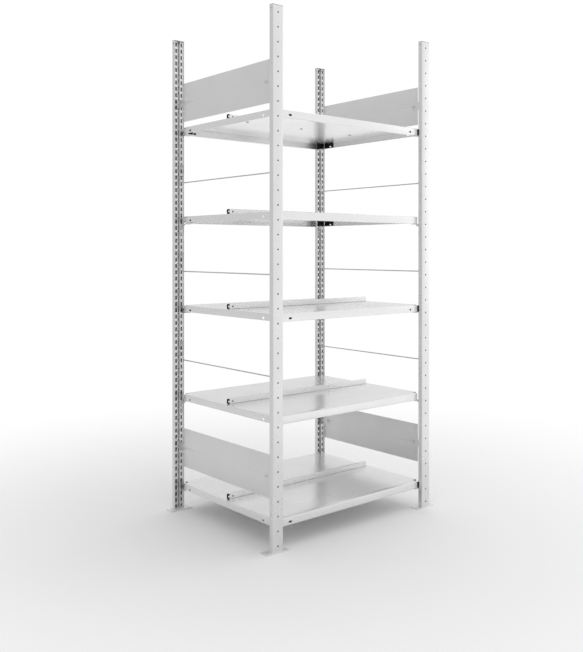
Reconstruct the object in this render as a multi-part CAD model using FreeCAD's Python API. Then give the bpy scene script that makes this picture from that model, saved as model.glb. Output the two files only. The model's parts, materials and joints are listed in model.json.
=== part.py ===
import FreeCAD, Part
import math
import os

# Double sided library shelving: two end frames of roll-formed uprights, five steel shelves that sit on
# hooked clips, a stop rail along the middle of each shelf, wire guards at the ends of the bays.
# Millimetres. X runs along the bay, Y through its depth, Z up from the floor. The origin is the middle
# of the footprint. Everything with four corners is built at +X +Y and mirrored to the other three.

# driving dimensions
BAY = 756.0                 # between the centre lines of the uprights
DEPTH = 636.0               # over the outer faces of the uprights
HEIGHT = 1850.0
TOP_SHELF = 1505.0          # height of the upper face of the top shelf
SHELF_STEP = 350.0
SHELF_COUNT = 5
SLOT_PITCH = 25.0
HOLE_EVERY = 2              # every second round hole is cut, and with few sides, to limit the facets
SLOT_EVERY = 4              # every fourth slot of the column beside the bay, and all that carry a hook
OUTER_EVERY = 8             # the slot column away from the bay, which only a neighbouring bay would use
ROUND_PITCH = 50.0

# upright: an open section bent from one strip
UPRIGHT_W = 45.0
UPRIGHT_D = 19.0
STRIP = 1.5                 # sheet thickness of the upright
SHOULDER = 12.5             # from the outer face to the slotted shoulder
GROOVE = 11.5               # width of the open groove down the middle
RETURN_END = 4.5            # from the outer face to the end of the groove's walls
EDGE_R = 3.0
SLOT_W = 6.0
SLOT_H = 16.5
SLOT_X = 12.0               # from the upright's centre line to a slot column
FIRST_SLOT = 10.0
ROUND_R = 3.25
ROUND_SIDES = 6
CAP_T = 1.5
CAP_RIM = 0.6
CAP_PLUG_H = 10.0
CAP_PLUG_X = 16.0           # half width

# foot plate
FOOT_W = 93.0
FOOT_Y0 = 279.0
FOOT_Y1 = 320.0
FOOT_T = 4.0
ANCHOR_X = 34.0             # from the upright's centre line to an anchor hole
ANCHOR_Y = 299.5
ANCHOR_R = 4.5
TONGUE_H = 60.0
TONGUE_X = 14.0             # half width

# shelf
SHELF_X = 373.0             # half length
SHELF_Y = 298.5             # half depth
SHELF_T = 1.2
FOLD_H = 28.0               # front and rear folds
LIP_W = 13.0
FOLD_X = 350.5              # where the front and rear folds stop, short of the uprights
END_H = 25.0                # folds at the ends
END_Y = 273.0               # where an end fold stops, short of the corner
FOLD_R = 2.0
OVAL_X = 307.5
OVAL_W = 14.0
OVAL_H = 7.0
OVAL_DROP = 17.0            # from the shelf's upper face to the middle of an oval
END_HOLE_Y = 230.0
END_HOLE_DROP = 16.5
END_HOLE_R = 4.0
LOCKED = (1, 3, 5)          # shelves with ovals, locks and side clips; the others lift off their clips

PLAY = 0.3                  # between pieces that only lie beside each other
SLIP = 0.15                 # round a plug in its hole

# plastic corner piece: an arm along the end fold and a leg with a toe along the cut out corner
ARM_Y = 213.0
ARM_T = 3.6
ARM_H = 22.0
ARM_NOTCH_R = 8.5
LEG_X = 340.0
LEG_Y = 262.0
LEG_H = 17.5
TOE_X = 329.0
TOE_W = 19.0
TOE_H = 23.1

# rib of a fixed shelf's right hand corner pieces, in the gap beside the upright
RIB_X = 351.0
RIB_T = 4.0
RIB_Y = 302.3
RIB_TOP = 2.0               # under the shelf's upper face
RIB_H = 23.0

# plug in an oval of a fixed shelf
PLUG_L = 2.9
PLUG_SUNK = 0.6

# stop rail
RAIL_X = 359.6
RAIL_W = 11.0
RAIL_H = 20.0
RAIL_T = 1.2
RAIL_PLUG_L = 10.0
RAIL_PLUG_T = 1.8           # wall round its pocket
RAIL_POCKET = 7.0           # depth
RAIL_HOLE_X = 15.0          # from the rail's left end to the hole through it
RAIL_HOLE_R = 2.25
SCREW_XS = (-267.0, 0.0, 267.0)
SCREW_R = 2.0
SCREW_HEAD_R = 4.0
SCREW_HEAD_H = 2.2
SCREW_L = 9.0

# clip: a plate on edge that hooks into a slot, and a seat under the corner of the shelf
CLIP_T = 2.0
CLIP_SLOT = 45.0            # from the shelf's upper face down to the slot it hooks into
SIDE_CLIP_SLOT = 20.0       # the same for a fixed shelf, whose clips stand beside its folds
CLIP_HEEL = 30.0            # from that slot down to the end of the heel
CLIP_GAP = 0.3              # under the shelf
CLIP_DEEP = 13.0
CLIP_Y0 = 262.0
CLIP_Y1 = 272.0
HOOK_T = 2.5
HOOK_H = 14.0               # from the slot's roof to the hook's tip
HOOK_NECK = 7.0             # height of the part that passes through the slot
HOOK_ROOM = 1.0             # over it, in the slot
SEAT_X = 338.0
SEAT_Y0 = 276.0
SEAT_Y1 = 298.0

# side plates and the brackets that join them to the uprights
PLATE_ZS = (250.0, 1600.0)
PLATE_H = 150.0
PLATE_Y = 270.0
PLATE_T = 1.5
BRACKET_H = 30.0
BRACKET_Y = 240.0
BRACKET_FOOT = 10.0
BOLT_Y = 254.0
BOLT_R = 4.0
BOLT_HEAD_R = 7.0
BOLT_HEAD_H = 3.6
NUT_R = 6.8                 # of the circle with the nut's area
NUT_H = 5.0
BOLT_END = 1.5              # beyond the nut

# wire guards
WIRE_R = 2.25
WIRE_BEND = 5.0
GUARD_ZS = (589.0, 939.0, 1289.0)
GUARD_RISE = 71.0
GUARD_CORNER_Y = 292.0
GUARD_SLOT_Z = 1.5          # from the leg's upper end to the middle of the wire in its slot
GUARD_TIP_H = 8.0

# worked out
POST_X = BAY / 2
FACE_Y = DEPTH / 2
SHOULDER_Y = FACE_Y - SHOULDER
INNER_Y = FACE_Y - UPRIGHT_D
COLUMN_X = POST_X - SLOT_X
SLOT_COUNT = int((HEIGHT - FIRST_SLOT) // SLOT_PITCH) + 1
ROUND_COUNT = int(HEIGHT // ROUND_PITCH)
SHELF_TOPS = [TOP_SHELF - SHELF_STEP * i for i in range(SHELF_COUNT)]
CLIP_SLOTS = [SIDE_CLIP_SLOT if n in LOCKED else CLIP_SLOT for n in range(1, SHELF_COUNT + 1)]
HOOK_ZS = [top - drop for top, drop in zip(SHELF_TOPS, CLIP_SLOTS)] + [low + GUARD_RISE for low in GUARD_ZS]
CORNERS = {"front_left": (-1, -1), "front_right": (1, -1), "back_left": (-1, 1), "back_right": (1, 1)}
V = FreeCAD.Vector
X_AXIS = V(1, 0, 0)
Y_AXIS = V(0, 1, 0)
Z_AXIS = V(0, 0, 1)


def box(x0, x1, y0, y1, z0, z1):
    """A box between two opposite corners."""
    return Part.makeBox(x1 - x0, y1 - y0, z1 - z0, V(x0, y0, z0))


def mirrored(shape, side_x, side_y):
    """A shape built at +X +Y, moved by mirroring to the corner with these signs."""
    if side_x < 0:
        shape = shape.mirror(V(0, 0, 0), X_AXIS)
    if side_y < 0:
        shape = shape.mirror(V(0, 0, 0), Y_AXIS)
    return shape


def four_corners(shape):
    """The same piece at all four corners, as separate solids."""
    return [mirrored(shape, *signs) for signs in CORNERS.values()]


def rounded_outline(corners):
    """A closed wire through (x, y, radius) corners in the XY plane, each corner a tangent arc."""
    points = [V(x, y, 0) for x, y, r in corners]
    edges = []
    first = last = None
    for i, (x, y, r) in enumerate(corners):
        here = points[i]
        back = (points[i - 1] - here).normalize()
        ahead = (points[(i + 1) % len(points)] - here).normalize()
        half = math.acos(max(-1.0, min(1.0, back.dot(ahead)))) / 2
        reach = r / math.tan(half)
        start = here + back * reach
        end = here + ahead * reach
        if last is not None:
            edges.append(Part.makeLine(last, start))
        if r > 0:
            middle = here + (back + ahead).normalize() * (r / math.sin(half) - r)
            edges.append(Part.Arc(start, middle, end).toShape())
        first = first or start
        last = end
    edges.append(Part.makeLine(last, first))
    return Part.Wire(edges)


def prism(corners, x_dir, y_dir, origin, length):
    """A rounded outline drawn in the plane of x_dir and y_dir at origin, extruded along their normal."""
    normal = x_dir.cross(y_dir)
    frame = FreeCAD.Matrix(
        x_dir.x, y_dir.x, normal.x, origin.x,
        x_dir.y, y_dir.y, normal.y, origin.y,
        x_dir.z, y_dir.z, normal.z, origin.z)
    face = Part.Face(rounded_outline(corners))
    face.Placement = FreeCAD.Placement(frame)
    return face.extrude(normal * length)


def sharp(points):
    """Plain corners for a rounded outline."""
    return [(x, y, 0) for x, y in points]


def polygon_wire(centre, axis, radius, sides):
    """A regular polygon across an axis, with the area of a circle of this radius."""
    reach = radius * math.sqrt(2 * math.pi / (sides * math.sin(2 * math.pi / sides)))
    side = Z_AXIS if abs(axis.z) < 0.5 else X_AXIS
    across = side.cross(axis)
    points = []
    for i in range(sides):
        turn = 2 * math.pi * (i + 0.5) / sides
        points.append(centre + side * (reach * math.cos(turn)) + across * (reach * math.sin(turn)))
    return Part.makePolygon(points + points[:1])


def polygon_bar(centre, axis, radius, sides, length):
    """A straight bar of regular polygon section."""
    return Part.Face(polygon_wire(centre, axis, radius, sides)).extrude(axis * length)


def upright_section():
    """Corners of the bent strip, across the upright and inward from its outer face: web, side wall,
    hem, slotted shoulder and the return wall of the groove, then the same mirrored."""
    half = UPRIGHT_W / 2
    inside = half - STRIP
    hem = half - 2 * STRIP
    groove = GROOVE / 2
    right = [
        (half, 0, EDGE_R), (half, UPRIGHT_D, 0), (hem, UPRIGHT_D, 0),
        (hem, SHOULDER, 0), (groove, SHOULDER, 0), (groove, RETURN_END, 0),
        (groove + STRIP, RETURN_END, 0), (groove + STRIP, SHOULDER - STRIP, 0),
        (inside, SHOULDER - STRIP, 0), (inside, STRIP, 0)]
    left = [(-x, y, r) for x, y, r in reversed(right)]
    return right + left


def make_upright():
    """The bent strip with its perforations: round holes down the web and slots down both shoulders."""
    body = prism(upright_section(), -X_AXIS, -Y_AXIS, V(POST_X, FACE_Y, FOOT_T), HEIGHT - CAP_T - FOOT_T)
    cuts = []
    for i in range(0, ROUND_COUNT, HOLE_EVERY):
        centre = V(POST_X, FACE_Y - STRIP - 1, ROUND_PITCH * (i + 0.5))
        cuts.append(polygon_bar(centre, Y_AXIS, ROUND_R, ROUND_SIDES, STRIP + 2))
    hooked = {round((z - FIRST_SLOT) / SLOT_PITCH) for z in HOOK_ZS}
    inner = sorted(set(range(0, SLOT_COUNT, SLOT_EVERY)) | hooked)
    outer = range(0, SLOT_COUNT, OUTER_EVERY)
    for x, places in ((POST_X - SLOT_X, inner), (POST_X + SLOT_X, outer)):
        for i in places:
            z = FIRST_SLOT + SLOT_PITCH * i
            cuts.append(box(x - SLOT_W / 2, x + SLOT_W / 2, SHOULDER_Y - 1, SHOULDER_Y + STRIP + 1,
                            z - SLOT_H / 2, z + SLOT_H / 2))
    return body.cut(Part.makeCompound(cuts))


def make_cap():
    """A thin lid over the upright's end with a plug that fits behind the web."""
    half = UPRIGHT_W / 2 + CAP_RIM
    corners = [(-half, -CAP_RIM, EDGE_R), (half, -CAP_RIM, EDGE_R),
               (half, UPRIGHT_D + CAP_RIM, 0), (-half, UPRIGHT_D + CAP_RIM, 0)]
    lid = prism(corners, -X_AXIS, -Y_AXIS, V(POST_X, FACE_Y, HEIGHT - CAP_T), CAP_T)
    plug = box(POST_X - CAP_PLUG_X, POST_X + CAP_PLUG_X, FACE_Y - RETURN_END + PLAY,
               FACE_Y - STRIP - SLIP, HEIGHT - CAP_T - CAP_PLUG_H, HEIGHT - CAP_T)
    return lid.fuse(plug).removeSplitter()


def make_foot():
    """A floor plate with two anchor holes and a tongue that stands inside the upright."""
    plate = box(POST_X - FOOT_W / 2, POST_X + FOOT_W / 2, FOOT_Y0, FOOT_Y1, 0, FOOT_T)
    tongue = box(POST_X - TONGUE_X, POST_X + TONGUE_X, FACE_Y - RETURN_END + PLAY,
                 FACE_Y - STRIP - SLIP, FOOT_T, FOOT_T + TONGUE_H)
    for side in (-1, 1):
        centre = V(POST_X + side * ANCHOR_X, ANCHOR_Y, -1)
        plate = plate.cut(Part.makeCylinder(ANCHOR_R, FOOT_T + 2, centre))
    return plate.fuse(tongue).removeSplitter()


def fold_profile(top):
    """Section of a shelf across its depth: upper face, both folds and their lips, with bent corners."""
    edge = SHELF_Y
    low = top - FOLD_H
    lip = edge - LIP_W
    right = [
        (edge, top, FOLD_R), (edge, low, 0), (lip, low, 0), (lip, low + SHELF_T, 0),
        (edge - SHELF_T, low + SHELF_T, 0), (edge - SHELF_T, top - SHELF_T, 0)]
    left = [(-y, z, r) for y, z, r in reversed(right)]
    return right + left


def oval(x, y, z, width, height, length):
    """A flat-ended bar along +Y with an oval section, centred on x and z, each end of it in chords."""
    radius = height / 2
    points = []
    for side in (-1, 1):
        for turn in (-90, -30, 30, 90):
            angle = math.radians(turn)
            points.append(V(x + side * (width / 2 - radius + radius * math.cos(angle)), y,
                            z + side * radius * math.sin(angle)))
    return Part.Face(Part.makePolygon(points + points[:1])).extrude(Y_AXIS * length)


def make_shelf(number, top):
    """A folded tray. Its corners are cut out, full height, where the uprights stand."""
    tray = prism(fold_profile(top), Y_AXIS, Z_AXIS, V(-SHELF_X, 0, 0), 2 * SHELF_X)
    ends = []
    for side in (-1, 1):
        x0, x1 = sorted((side * SHELF_X, side * (SHELF_X - SHELF_T)))
        ends.append(box(x0, x1, -END_Y, END_Y, top - END_H, top - SHELF_T / 2))
    tray = tray.fuse(ends).removeSplitter()
    cuts = four_corners(box(FOLD_X, SHELF_X + 1, END_Y, SHELF_Y + 1, top - FOLD_H - 1, top + 1))
    for side_x, side_y in CORNERS.values():
        hole = polygon_bar(V(SHELF_X - 5, END_HOLE_Y, top - END_HOLE_DROP), X_AXIS, END_HOLE_R, 6, 10)
        cuts.append(mirrored(hole, side_x, side_y))
        if number in LOCKED:
            slot = oval(OVAL_X, SHELF_Y - 5, top - OVAL_DROP, OVAL_W, OVAL_H, 10)
            cuts.append(mirrored(slot, side_x, side_y))
    return tray.cut(Part.makeCompound(cuts))


def make_blocks(number, top):
    """Plastic corner pieces inside the tray. The arm is notched from below round the hole in the end
    fold. On a fixed shelf both right hand pieces also have the rib beside the upright."""
    roof = top - SHELF_T - PLAY
    wall = SHELF_X - SHELF_T - PLAY
    edge = END_Y - PLAY
    arm = box(wall - ARM_T, wall, ARM_Y, edge, roof - ARM_H, roof)
    leg = box(LEG_X, wall, LEG_Y, edge, roof - LEG_H, roof)
    toe = box(TOE_X, TOE_X + TOE_W, LEG_Y, edge, roof - TOE_H, roof - LEG_H)
    notch = polygon_bar(V(wall - ARM_T - 1, END_HOLE_Y, roof - ARM_H), X_AXIS, ARM_NOTCH_R, 8, ARM_T + 2)
    plain = arm.cut(notch).fuse([leg, toe]).removeSplitter()
    rib = box(RIB_X, RIB_X + RIB_T, LEG_Y, RIB_Y, top - RIB_TOP - RIB_H, top - RIB_TOP)
    ribbed = plain.fuse(rib).removeSplitter()
    pieces = []
    for side_x, side_y in CORNERS.values():
        has_rib = number in LOCKED and side_x > 0
        pieces.append(mirrored(ribbed if has_rib else plain, side_x, side_y))
    return Part.makeCompound(pieces)


def make_rail(top):
    """A square-cornered tube that stops books at the middle of the shelf, drilled near its left end."""
    tube = box(-RAIL_X, RAIL_X, -RAIL_W / 2, RAIL_W / 2, top, top + RAIL_H)
    bore = box(-RAIL_X - 1, RAIL_X + 1, -RAIL_W / 2 + RAIL_T, RAIL_W / 2 - RAIL_T,
               top + RAIL_T, top + RAIL_H - RAIL_T)
    hole = polygon_bar(V(RAIL_HOLE_X - RAIL_X, -RAIL_W / 2 - 1, top + RAIL_H / 2), Y_AXIS, RAIL_HOLE_R, 6,
                       RAIL_W + 2)
    return tube.cut(bore.fuse(hole))


def make_rail_caps(top):
    """Hollow plastic plugs inside both ends of the rail."""
    half = RAIL_W / 2 - RAIL_T - SLIP
    low = top + RAIL_T + SLIP
    high = top + RAIL_H - RAIL_T - SLIP
    body = box(RAIL_X - RAIL_PLUG_L, RAIL_X, -half, half, low, high)
    pocket = box(RAIL_X - RAIL_POCKET, RAIL_X + 1, RAIL_PLUG_T - half, half - RAIL_PLUG_T,
                 low + RAIL_PLUG_T, high - RAIL_PLUG_T)
    plug = body.cut(pocket)
    return Part.makeCompound([plug, mirrored(plug, -1, 1)])


def make_screws(tops):
    """Self-tapping pan head screws, driven up through the shelf into the rail's floor."""
    screws = []
    for top in tops:
        for x in SCREW_XS:
            under = top - SHELF_T
            head = polygon_bar(V(x, 0, under - SCREW_HEAD_H), Z_AXIS, SCREW_HEAD_R, 6, SCREW_HEAD_H)
            shank = polygon_bar(V(x, 0, under), Z_AXIS, SCREW_R, 4, SCREW_L)
            screws.append(head.fuse(shank))
    return Part.makeCompound(screws)


def hook_line(slot_z):
    """The hook of a clip in depth and height: through the slot and down behind the shoulder."""
    back = SHOULDER_Y - PLAY
    behind = SHOULDER_Y + STRIP + PLAY
    roof = slot_z + SLOT_H / 2 - HOOK_ROOM
    return [(back, roof), (behind + HOOK_T, roof), (behind + HOOK_T, roof - HOOK_H),
            (behind, roof - HOOK_H), (behind, roof - HOOK_NECK), (back, roof - HOOK_NECK)]


def clip_profile(top):
    """Outline of a clip under a shelf that lifts: a gusset, the hook and a heel that bears on the
    shoulder below it."""
    seat = top - FOLD_H - CLIP_GAP
    back = SHOULDER_Y - PLAY
    foot = top - CLIP_SLOT - CLIP_HEEL
    front = INNER_Y + STRIP
    return [(CLIP_Y0, seat), (back, seat)] + hook_line(top - CLIP_SLOT) + [
        (back, foot), (front, foot), (front, seat - CLIP_DEEP), (CLIP_Y1, seat - CLIP_DEEP)]


def side_clip_profile(top):
    """Outline of a fixed shelf's clip, which stands in the cut out corner beside the folds."""
    low = top - FOLD_H - CLIP_GAP - CLIP_T
    hook = hook_line(top - SIDE_CLIP_SLOT)
    return [(SEAT_Y0, low), (SEAT_Y0, hook[0][1])] + hook + [(SHOULDER_Y - PLAY, low)]


def make_clips(side_x, side_y):
    """All the clips of one upright: each a plate on edge with a seat folded from it under the shelf."""
    clips = []
    for number, top in enumerate(SHELF_TOPS, 1):
        seat = top - FOLD_H - CLIP_GAP
        profile = side_clip_profile(top) if number in LOCKED else clip_profile(top)
        edge = prism(sharp(profile), Y_AXIS, Z_AXIS, V(COLUMN_X - CLIP_T / 2, 0, 0), CLIP_T)
        shelf_seat = box(SEAT_X, COLUMN_X + CLIP_T / 2, SEAT_Y0, SEAT_Y1, seat - CLIP_T, seat)
        clips.append(mirrored(edge.fuse(shelf_seat).removeSplitter(), side_x, side_y))
    return Part.makeCompound(clips)


def make_locks():
    """Oval plastic plugs that lock the fixed shelves, in both folds at the left hand end."""
    locks = []
    for number in LOCKED:
        middle = SHELF_TOPS[number - 1] - OVAL_DROP
        plug = oval(OVAL_X, SHELF_Y - PLUG_SUNK - PLUG_L, middle, OVAL_W - 2 * SLIP, OVAL_H - 2 * SLIP, PLUG_L)
        locks += [mirrored(plug, -1, side_y) for side_y in (-1, 1)]
    return Part.makeCompound(locks)


def make_plate(side_x, middle):
    """A flat plate that ties the two uprights of an end frame."""
    plate = box(POST_X - PLATE_T / 2, POST_X + PLATE_T / 2, -PLATE_Y, PLATE_Y,
                middle - PLATE_H / 2, middle + PLATE_H / 2)
    for side in (-1, 1):
        centre = V(POST_X - PLATE_T / 2 - 1, side * BOLT_Y, middle)
        plate = plate.cut(polygon_bar(centre, X_AXIS, BOLT_R + PLAY, 6, PLATE_T + 2))
    return mirrored(plate, side_x, 1)


def make_brackets(side_x, middle):
    """Flat brackets behind both ends of a plate. Each ends in a foot inside the upright's groove."""
    face = POST_X - PLATE_T / 2
    low = middle - BRACKET_H / 2
    high = middle + BRACKET_H / 2
    floor_y = FACE_Y - RETURN_END
    leaf = box(face - PLATE_T, face, BRACKET_Y, floor_y, low, high)
    foot = box(POST_X - BRACKET_FOOT / 2, POST_X + BRACKET_FOOT / 2, floor_y - PLATE_T, floor_y, low, high)
    hole = polygon_bar(V(face - PLATE_T - 1, BOLT_Y, middle), X_AXIS, BOLT_R + PLAY, 6, PLATE_T + 2)
    bracket = leaf.fuse(foot).removeSplitter().cut(hole)
    return Part.makeCompound([mirrored(bracket, side_x, side) for side in (-1, 1)])


def make_bolts(side_x, middle):
    """Low headed bolts through plate and bracket, with hexagon nuts on the inner side."""
    outer = POST_X + PLATE_T / 2
    inner = POST_X - PLATE_T * 1.5
    bolts = []
    for side in (-1, 1):
        head = polygon_bar(V(outer, side * BOLT_Y, middle), X_AXIS, BOLT_HEAD_R, 8, BOLT_HEAD_H)
        shank = polygon_bar(V(inner - NUT_H - BOLT_END, side * BOLT_Y, middle), X_AXIS, BOLT_R, 6,
                            outer - inner + NUT_H + BOLT_END)
        nut = polygon_bar(V(inner - NUT_H, side * BOLT_Y, middle), X_AXIS, NUT_R, 6, NUT_H)
        bolts.append(mirrored(head.fuse([shank, nut]), side_x, 1))
    return Part.makeCompound(bolts)


def guard_bends(low):
    """Corners of half a guard's centre line, as place in depth, height, bend radius and number of
    chords: the hooked tip, the slot behind it, the leg's upper end and the corner below."""
    slot_z = low + GUARD_RISE + GUARD_SLOT_Z
    tip_y = SHOULDER_Y + STRIP + WIRE_R + 3 * PLAY
    return [(tip_y, slot_z - GUARD_TIP_H, 0, 0), (tip_y, slot_z, 0, 0), (SHOULDER_Y - 2 * WIRE_R, slot_z, 3.0, 1),
            (GUARD_CORNER_Y, low, WIRE_BEND, 2)]


def bend_points(before, corner, after, radius, chords):
    """The points of a bend: where it leaves one run, where it joins the next, and those between."""
    back = (before - corner).normalize()
    ahead = (after - corner).normalize()
    half = math.acos(back.dot(ahead)) / 2
    centre = corner + (back + ahead).normalize() * (radius / math.sin(half))
    start = corner + back * (radius / math.tan(half)) - centre
    sweep = math.pi - 2 * half
    turns = [sweep * i / chords for i in range(chords + 1)]
    return [centre + start * math.cos(turn) - back * (radius * math.sin(turn)) for turn in turns]


def make_guard(side_x, low):
    """A round wire, here with six sides, swept along its bends and hooked into a slot at both ends."""
    half = guard_bends(low)
    corners = half + [(-y, z, radius, chords) for y, z, radius, chords in reversed(half)]
    spots = [V(COLUMN_X, y, z) for y, z, radius, chords in corners]
    points = []
    for i, (y, z, radius, chords) in enumerate(corners):
        if radius > 0:
            points += bend_points(spots[i - 1], spots[i], spots[i + 1], radius, chords)
        else:
            points.append(spots[i])
    section = polygon_wire(points[0], Z_AXIS, WIRE_R, 6)
    wire = Part.makePolygon(points).makePipeShell([section], True, False, 1)
    return mirrored(wire, side_x, 1)


def save(shape, name):
    """Write one node."""
    shape.exportStep("parts/" + name + ".step")
    print(name, len(shape.Solids), "solids", round(shape.Volume), "mm3", shape.isValid())


os.makedirs("parts", exist_ok=True)
upright = make_upright()
save(Part.makeCompound(four_corners(make_foot())), "foot_plates")
for corner, signs in CORNERS.items():
    save(mirrored(upright, *signs), "upright_" + corner)
    save(mirrored(make_cap(), *signs), "upright_cap_" + corner)
    save(make_clips(*signs), "shelf_clips_" + corner)

for index, top in enumerate(SHELF_TOPS):
    number = index + 1
    save(make_shelf(number, top), f"shelf_{number}")
    save(make_blocks(number, top), f"corner_blocks_{number}")
    save(make_rail(top), f"stop_rail_{number}")
    save(make_rail_caps(top), f"rail_caps_{number}")
    if number not in LOCKED:
        save(make_screws([top]), f"rail_screws_{number}")
save(make_screws([SHELF_TOPS[number - 1] for number in LOCKED]), "rail_screws_fixed")
save(make_locks(), "shelf_locks")

for side_name, side in (("left", -1), ("right", 1)):
    for level_name, middle in zip(("lower", "upper"), PLATE_ZS):
        save(make_plate(side, middle), f"side_plate_{side_name}_{level_name}")
        save(make_brackets(side, middle), f"plate_brackets_{side_name}_{level_name}")
        save(make_bolts(side, middle), f"plate_bolts_{side_name}_{level_name}")
    for index, low in enumerate(GUARD_ZS):
        save(make_guard(side, low), f"wire_guard_{side_name}_{index + 1}")
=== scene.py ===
# %% [markdown]
# # Double sided library shelving
#
# One free-standing bay of steel library shelving, used from both faces: four perforated uprights, five
# folded shelves on hooked clips, a stop rail along the middle of each shelf, wire guards, side plates and
# floor plates. Almost all of it is thin sheet that was punched and bent, so almost all of it is made here
# the same way: a bent line gives the section, stations along it give the length, and holes are left out
# of the flat stretches before the sheet gets its thickness.
#
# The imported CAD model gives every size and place. Each cell makes one kind of piece and prints what it made.

# %% the frame
import json
import math

import bpy
import numpy as np
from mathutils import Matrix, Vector


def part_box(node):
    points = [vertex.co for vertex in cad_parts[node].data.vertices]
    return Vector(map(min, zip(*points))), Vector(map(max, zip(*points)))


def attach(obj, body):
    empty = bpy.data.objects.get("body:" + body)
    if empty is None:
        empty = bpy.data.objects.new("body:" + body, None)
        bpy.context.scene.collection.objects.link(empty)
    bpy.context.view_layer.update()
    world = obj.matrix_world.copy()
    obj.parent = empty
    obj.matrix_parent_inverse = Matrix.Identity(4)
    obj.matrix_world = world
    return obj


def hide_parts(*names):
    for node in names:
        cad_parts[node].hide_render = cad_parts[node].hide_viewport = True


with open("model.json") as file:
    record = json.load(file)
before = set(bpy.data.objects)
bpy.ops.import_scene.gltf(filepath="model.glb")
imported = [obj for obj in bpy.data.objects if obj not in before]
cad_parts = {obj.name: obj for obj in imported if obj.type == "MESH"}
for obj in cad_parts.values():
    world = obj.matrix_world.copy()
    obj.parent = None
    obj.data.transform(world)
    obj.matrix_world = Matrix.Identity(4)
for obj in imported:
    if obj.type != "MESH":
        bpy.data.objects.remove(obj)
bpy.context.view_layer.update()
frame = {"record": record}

# %% [markdown]
# ## Sizes
#
# The frame's boxes give the outer sizes of every node. What a box doesn't tell, such as the pitch of the
# perforation or the radius of a bend, is named here, or in the one cell that needs it. It is written in
# millimetres, which `MM` and `mm` turn into metres.
#
# *Why so?* If the CAD changes and is packed again, the boxes follow, and only the small values below
# would have to be looked at.

# %% sizes and places
MM = 0.001
CORNERS = {"front_left": (-1, -1), "front_right": (1, -1), "back_left": (-1, 1), "back_right": (1, 1)}
SHELVES = (1, 2, 3, 4, 5)
FIXED_SHELVES = (1, 3, 5)
SIDES = {"left": -1, "right": 1}
BODY_OF = {node: body for body, nodes in frame["record"]["behaviour"]["bodies"].items() for node in nodes}


def mm(*values):
    """Millimetres as metres."""
    return [value * MM for value in values]


def span(node):
    """Lowest and highest corner of a CAD node, as arrays."""
    low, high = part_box(node)
    return np.array(low), np.array(high)


post_low, post_high = span("upright_back_right")
POST_X = (post_low[0] + post_high[0]) / 2
POST_HALF = (post_high[0] - post_low[0]) / 2
POST_DEEP = post_high[1] - post_low[1]
FACE_Y = post_high[1]
POST_Z0, POST_Z1 = post_low[2], post_high[2]

STRIP = 1.5 * MM            # sheet of the upright
SHOULDER = 12.5 * MM        # from the upright's outer face to its slotted shoulder
GROOVE = 5.75 * MM          # half the open groove
RETURN_END = 4.5 * MM
SLOT_PITCH, FIRST_SLOT, SLOT_X, SLOT_HALF_H, SLOT_CORNER = mm(25, 10, 12, 8.25, 2.2)
SLOT_HALF_W = {-1: 3.9 * MM, 1: 2.8 * MM}       # one column is wider than the other
GROOVE_R, HEM_IN_R, HEM_R, EDGE_R = mm(1.9, 0.8, 1.49, 3)
HOLE_PITCH, HOLE_R, EAR_HOLE_Z, EAR_HOLE_R = mm(50, 3.25, 1837, 2.5)
LID_CORNER = 2 * MM
FOOT_HALF_X, FOOT_T, FOOT_Y0, FOOT_PROUD, FOOT_EDGE = mm(46.5, 4, 279, 2, 0.5)
ANCHOR_X, ANCHOR_Y, ANCHOR_R = mm(34, 299.5, 4.5)

SHEET = 1.2 * MM            # sheet of shelves and rails
FOLD_X = 350.5 * MM         # where the front and rear folds stop
LIP, FOLD_R, LIP_R, END_FOLD, END_Y = mm(13, 2, 1.7, 25, 273)
OVAL_X, OVAL_DROP, OVAL_HALF_W, OVAL_HALF_H = mm(307.5, 17, 7, 3.5)
END_HOLE_Y, END_HOLE_DROP, END_HOLE_HALF_W, END_HOLE_HALF_H = mm(230, 16.5, 6, 3.6)
OVAL_CELL, END_HOLE_CELL = mm(12, 9)    # half the grid cell round a hole
EVEN_X, EVEN_COUNT = 270 * MM, 7        # stations that break up the long plain stretch

WELD_REACH = 0.01 * MM
STATION_SLACK = 0.001 * MM
SHARP_FROM, BEVEL_FROM = math.radians(31), math.radians(50)
SHARPEST = 0.3              # keeps `inset` from shooting past a sharp corner

SHELF_BOX = {n: span(f"shelf_{n}") for n in SHELVES}
COLUMN_X = POST_X - SLOT_X
SHOULDER_Y = FACE_Y - SHOULDER
INNER_Y = FACE_Y - POST_DEEP
print("uprights at", round(POST_X, 4), "shelf tops", [round(box[1][2], 3) for box in SHELF_BOX.values()])

# %% [markdown]
# ## Mesh tools
#
# A few small tools make every piece. A part is a pair: an array of vertices and a list of faces.
#
# * `bend` turns the corners of a line into points, with an arc at each bend.
# * `bent_sheet` carries such a line straight along a third direction. Holes are left out of its grid.
# * `loft` joins rings of equal point count into a closed skin: wires, bolt heads, caps.
# * `add_piece` makes the object, gives a sheet its thickness, softens its edges, marks the edges that
#   stay sharp and ties the object to its CAD body.
#
# *How else?* Booleans could punch the holes, but hundreds of them are slow and leave ragged faces. Here a
# hole is part of the grid: one grid line runs through its middle, and the cells on both sides of that line
# are replaced by two faces, each of which runs round one half of the hole's outline.

# %% lines and outlines


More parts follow.
